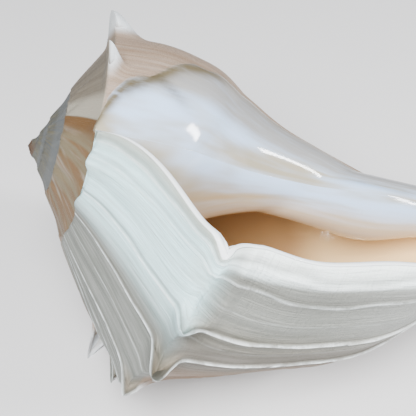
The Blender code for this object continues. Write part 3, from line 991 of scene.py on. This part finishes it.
class Paint:
    """Short ways to add nodes to one material."""

    def __init__(self, name):
        self.material = bpy.data.materials.new(name)
        self.material.use_nodes = True
        self.tree = self.material.node_tree
        self.shader = self.tree.nodes["Principled BSDF"]

    def node(self, kind, **settings):
        node = self.tree.nodes.new(kind)
        for name, value in settings.items():
            setattr(node, name, value)
        return node

    def feed(self, socket, value):
        if isinstance(value, bpy.types.NodeSocket):
            self.tree.links.new(value, socket)
        else:
            socket.default_value = value

    def read(self, name):
        """Return a mesh value as a number."""
        return self.node("ShaderNodeAttribute", attribute_name=name).outputs["Fac"]

    def noise(self, scale, detail, rough, distortion=0.0, shift=(0.0, 0.0)):
        """Return noise over the growth place, scaled and shifted by age and by station."""
        growth = self.node("ShaderNodeAttribute", attribute_name="growth")
        place = self.node("ShaderNodeMapping")
        self.feed(place.inputs["Vector"], growth.outputs["Vector"])
        place.inputs["Scale"].default_value = (*scale, 1.0)
        place.inputs["Location"].default_value = (*shift, 0.0)
        node = self.node("ShaderNodeTexNoise")
        self.feed(node.inputs["Vector"], place.outputs["Vector"])
        node.inputs["Scale"].default_value = 1.0
        node.inputs["Detail"].default_value = detail
        node.inputs["Roughness"].default_value = rough
        node.inputs["Distortion"].default_value = distortion
        return node.outputs["Fac"]

    def combine(self, operation, first, second):
        node = self.node("ShaderNodeMath", operation=operation)
        self.feed(node.inputs[0], first)
        self.feed(node.inputs[1], second)
        return node.outputs[0]

    def band(self, value, low, high, bottom=0.0, top=1.0):
        """Return the value eased from low to high."""
        node = self.node("ShaderNodeMapRange", interpolation_type="SMOOTHSTEP")
        self.feed(node.inputs["Value"], value)
        for name, number in (("From Min", low), ("From Max", high),
                             ("To Min", bottom), ("To Max", top)):
            node.inputs[name].default_value = number
        return node.outputs["Result"]

    def blend(self, under, over, share):
        """Lay one colour over another. Each is a node's colour or red, green and blue."""
        node = self.node("ShaderNodeMix", data_type="RGBA")
        colours = [socket for socket in node.inputs if socket.type == "RGBA"]
        self.feed(node.inputs[0], share)
        for socket, value in zip(colours, (under, over)):
            self.feed(socket, colour(*value) if isinstance(value, tuple) else value)
        return next(socket for socket in node.outputs if socket.type == "RGBA")

    def layers(self, base, *layers):
        """Lay colours over a base one after another, each with its share."""
        for over, share in layers:
            base = self.blend(base, over, share)
        return base

    def times(self, *values):
        result = values[0]
        for value in values[1:]:
            result = self.combine("MULTIPLY", result, value)
        return result


def colour(red, green, blue):
    return (red, green, blue, 1.0)


def chalk_colour(paint, age, station):
    """Return the newest growth: chalky white, streaked along the growth lines, with painted shade
    and highlights.
    """
    streak = paint.noise((5.0, 0.35), 4.0, 0.6)
    fine = paint.noise((24.0, 0.5), 3.0, 0.6)
    cloud = paint.noise((0.5, 0.4), 3.0, 0.5)
    broken = paint.noise((3.0, 2.2), 3.0, 0.6, shift=(0.0, 4.0))
    streaks = paint.band(streak, *STREAKS)
    ramp = paint.blend((0.48, 0.71, 0.73), (0.65, 0.93, 0.99), streaks)
    # On the lower body the white strip by the lip starts nearer the lip, which widens the painted
    # shade under the lip's edge.
    strip_age = paint.combine("ADD", age, paint.band(station, 0.37, 0.50, 0.0, -1.3))
    # The body's chalk is grey-beige and partly painted shade, set darker where the body turns away
    # from the light.
    body = paint.layers(
        (0.115, 0.112, 0.085),
        ((0.27, 0.265, 0.225), streaks),
        ((0.24, 0.26, 0.245), paint.band(age, -43.0, -36.0, 0.0, 0.6)),
        # Painted shade under the lip's edge: a darker band from age -34.5 to -31.
        ((0.125, 0.13, 0.115), paint.band(age, -34.5, -31.0, 0.0, 0.6)),
        ((0.13, 0.13, 0.11), paint.band(fine, 0.46, 0.66, 0.0, 0.6)),
        ((0.36, 0.37, 0.36), paint.band(station, 0.52, 0.76, 0.0, 0.7)),
        ((0.80, 0.92, 0.93), paint.band(strip_age, -29.4, -27.8)))
    # Older chalk is greyer, and set darker still as painted shade where the older ramp turns away
    # from the light.
    aged = paint.blend((0.085, 0.073, 0.053), (0.195, 0.175, 0.148), streaks)
    edge = paint.blend((0.36, 0.345, 0.27), (0.94, 1.0, 0.97), paint.band(station, 0.27, 0.33))
    # The ledges' crests: pale, with a painted highlight along them.
    crest = paint.times(paint.read("crest"), paint.band(broken, 0.36, 0.60, 0.35, 1.0))
    return paint.layers(
        ramp,
        (body, paint.band(station, 0.31, 0.37)),
        ((0.32, 0.34, 0.32), paint.band(fine, 0.50, 0.72, 0.0, 0.40)),
        ((0.46, 0.42, 0.32), paint.band(cloud, 0.55, 0.8, 0.0, 0.30)),
        (aged, paint.band(age, -41.5, -53.0, 0.0, 0.9)),
        (edge, paint.band(age, -28.5, -25.2, 0.0, 0.75)),
        # Painted shade: darker ahead of each ledge, along the newest channel and in the hollows
        # behind the newest folds.
        ((0.115, 0.11, 0.09), paint.times(paint.read("painted_shade"), 0.72)),
        ((0.86, 0.93, 0.95), crest))


def older_colour(paint):
    """Return the older part of the last whorl: pinkish tan streaks, and pale keels."""
    streak = paint.noise((2.2, 0.22), 4.0, 0.6, shift=(3.0, 0.0))
    fine = paint.noise((9.0, 0.3), 3.0, 0.6, shift=(3.0, 5.0))
    return paint.layers(
        (0.20, 0.135, 0.088),
        ((0.30, 0.23, 0.18), paint.band(streak, *STREAKS)),
        ((0.20, 0.18, 0.17), paint.band(fine, 0.5, 0.75, 0.0, 0.5)),
        ((0.56, 0.60, 0.63), paint.band(paint.read("keel"), 0.15, 0.75)))


def spire_colour(paint, age, station):
    """Return the spire: grey-brown, then orange and cream streaks, then grey-olive, then brown."""
    streak = paint.noise((3.2, 0.10), 4.0, 0.65, 0.3, (1.0, 0.0))
    patch = paint.noise((0.9, 0.16), 2.0, 0.5, 0.6, (1.7, 0.3))
    blush = paint.noise((1.3, 0.20), 2.0, 0.5, 0.4, (6.1, 2.3))
    pale = paint.times(paint.band(age, -333.0, -330.0), paint.band(age, -313.0, -321.0))
    warm = paint.layers(
        (0.135, 0.11, 0.065),
        ((0.12, 0.066, 0.026), paint.band(patch, 0.40, 0.58)),
        ((0.20, 0.165, 0.125), paint.band(blush, 0.52, 0.72)),
        ((0.095, 0.075, 0.035), paint.band(streak, 0.50, 0.8, 0.0, 0.6)),
        ((0.10, 0.05, 0.015), paint.band(age, -348.0, -337.0)))
    olive = paint.layers(
        (0.058, 0.064, 0.066),
        ((0.092, 0.083, 0.052), paint.band(streak, 0.42, 0.58)),
        ((0.085, 0.093, 0.098), paint.band(station, 0.12, 0.19, 0.0, 0.7)))
    return paint.layers(
        (0.09, 0.075, 0.055),
        ((0.145, 0.125, 0.095), paint.band(streak, *STREAKS)),
        ((0.25, 0.23, 0.185), pale),
        (warm, paint.band(age, -331.0, -332.2)),
        (olive, paint.band(age, -520.0, -600.0)),
        ((0.06, 0.032, 0.016), paint.band(age, -1380.0, -1480.0)))


def enamel_colour(paint):
    """Return the glossy white enamel, with a yellowish edge and a brownish smudge."""
    haze = paint.noise((0.35, 0.3), 3.0, 0.5, shift=(0.0, 2.0))
    mottle = paint.noise((1.8, 1.4), 3.0, 0.6, shift=(0.0, 7.0))
    thin = paint.times(paint.read("thin"), paint.band(mottle, 0.25, 0.6, 0.75, 1.0))
    rim = paint.times(paint.read("enamel_rim"), paint.band(mottle, 0.2, 0.6, 0.4, 1.0))
    smudge = paint.times(paint.read("smudge"), paint.band(mottle, 0.2, 0.75, 0.30, 0.70))
    mouth_tan = paint.times(paint.read("mouth_tan"), paint.band(haze, 0.35, 0.6, 0.55, 1.0))
    return paint.layers(
        (0.42, 0.56, 0.78),
        ((0.32, 0.29, 0.22), paint.band(haze, 0.38, 0.66)),
        ((0.26, 0.26, 0.26), thin),
        ((0.11, 0.088, 0.05), rim),
        ((0.062, 0.052, 0.032), smudge),
        ((0.32, 0.235, 0.125), mouth_tan),
        ((0.70, 0.53, 0.35), paint.band(paint.read("depth_inside"), 15.0, 70.0, 0.0, 0.85)))


def inside_colour(paint):
    """Return the inside: brown-tan in the body, peach towards the canal, white at the lip."""
    stain = paint.noise((0.25, 0.35), 3.0, 0.5, 0.4)
    from_lip = paint.read("depth_inside")
    stained = paint.combine("ADD", from_lip, paint.band(stain, 0.2, 0.8, -30.0, 30.0))
    depth = paint.combine("ADD", paint.read("depth"), paint.band(stain, 0.2, 0.8, -0.004, 0.004))
    return paint.layers(
        (0.60, 0.40, 0.20),
        ((0.42, 0.245, 0.11), paint.band(stained, 50.0, 120.0)),
        ((0.78, 0.54, 0.27), paint.band(depth, 0.108, 0.124)),
        ((0.84, 0.88, 0.90), paint.band(from_lip, 5.0, 0.5)))


def shell_paint():
    """Return the shell's material: chalk, streaks, enamel and the stained inside."""
    paint = Paint("whelk_shell_surface")
    age = paint.read("age")
    station = paint.read("station")
    enamel = paint.read("enamel")
    inner_wall = paint.read("inner_wall")
    shift = paint.band(station, 0.30, 0.36, 40.0, 0.0)
    newest = paint.band(paint.combine("ADD", age, shift), -66.0, -57.0)
    on_spire = paint.times(paint.band(age, -250.0, -285.0), paint.band(station, 0.312, 0.296))
    # Tan in the spines' front pockets, partly their colour and partly painted shade in these
    # recesses.
    hollow = paint.times(paint.read("pocket"), paint.band(age, -50.0, -60.0, 0.35, 0.85),
                         paint.band(age, -200.0, -160.0))
    surface = paint.layers(
        older_colour(paint),
        (chalk_colour(paint, age, station), newest),
        (spire_colour(paint, age, station), on_spire),
        ((0.25, 0.19, 0.12), hollow),
        (enamel_colour(paint), enamel),
        (inside_colour(paint), inner_wall))
    paint.feed(paint.shader.inputs["Base Color"], surface)

    shiny = paint.combine("MAXIMUM", enamel, inner_wall)
    rough = paint.band(shiny, 0.0, 1.0, CHALK_ROUGHNESS, ENAMEL_ROUGHNESS)
    paint.feed(paint.shader.inputs["Roughness"], rough)
    fine = paint.noise((20.0, 0.7), 5.0, 0.65)
    threads = paint.noise((1.2, 13.0), 3.0, 0.6)
    threads = paint.times(threads, paint.band(station, 0.28, 0.36, 0.15, 0.8))
    height = paint.combine("ADD", fine, threads)
    height = paint.times(height, paint.band(shiny, 0.0, 1.0, 1.0, 0.02),
                         paint.band(age, -200.0, -120.0, 0.3, 1.0))
    bump = paint.node("ShaderNodeBump")
    bump.inputs["Strength"].default_value = BUMP_STRENGTH
    bump.inputs["Distance"].default_value = BUMP_DISTANCE
    paint.feed(bump.inputs["Height"], height)
    paint.feed(paint.shader.inputs["Normal"], bump.outputs["Normal"])
    return paint.material


# Floor, light and camera

def add_floor():
    mesh = bpy.data.meshes.new("floor")
    reach = 4.0
    mesh.from_pydata([(-reach, -reach, 0.0), (reach, -reach, 0.0), (reach, reach, 0.0),
                      (-reach, reach, 0.0)], [], [(0, 1, 2, 3)])
    material = bpy.data.materials.new("pale_floor")
    material.use_nodes = True
    shader = material.node_tree.nodes["Principled BSDF"]
    shader.inputs["Base Color"].default_value = colour(0.62, 0.62, 0.63)
    shader.inputs["Roughness"].default_value = 0.9
    mesh.materials.append(material)
    floor = add_object("floor", mesh)


def add_softbox(name, place, size, power):
    """Add a soft light, of this width and height, that faces the shell."""
    light = bpy.data.lights.new(name, "AREA")
    light.shape = "RECTANGLE"
    light.size, light.size_y = size
    light.energy = power
    lamp = add_object(name, light)
    lamp.location = place
    aim = LIGHT_AIM - lamp.location
    lamp.rotation_euler = aim.to_track_quat("-Z", "Y").to_euler()


def add_light():
    world = bpy.data.worlds.new("soft_surround")
    world.use_nodes = True
    background = world.node_tree.nodes["Background"]
    background.inputs["Color"].default_value = colour(0.93, 0.96, 1.0)
    background.inputs["Strength"].default_value = 0.12
    bpy.context.scene.world = world
    add_softbox("side_light", (0.87, -0.24, 0.47), (0.14, 0.34), 15.0)
    add_softbox("top_light", (-0.20, -0.76, 1.10), (0.85, 0.85), 66.0)


def add_camera():
    """Stand the camera where the photograph was taken from, seen from the shell's axis."""
    apex = Vector((-math.cos(CAMERA_TILT) * math.cos(CAMERA_ROLL),
                   math.cos(CAMERA_TILT) * math.sin(CAMERA_ROLL), math.sin(CAMERA_TILT)))
    near = Vector((0.0, 0.0, 1.0)) - apex * apex.z
    near.normalize()
    side = apex.cross(near)
    axes = Matrix((near, side, apex)).transposed() @ Matrix.Rotation(CAMERA_TURN, 3, "Z")
    to_world = lying_rotation() @ axes.transposed()
    camera = add_object("camera", bpy.data.cameras.new("camera"))
    camera.data.sensor_width = SENSOR
    camera.data.lens = CAMERA_LENS
    camera.data.clip_start = 0.01
    place = APEX_PLACE + to_world @ CAMERA_PLACE
    camera.matrix_world = Matrix.Translation(place) @ to_world.to_4x4()
    bpy.context.scene.camera = camera


add_camera()
add_light()
add_floor()
shell = build_shell()
shell.data.materials.append(shell_paint())
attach(shell, "root")
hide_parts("shell")
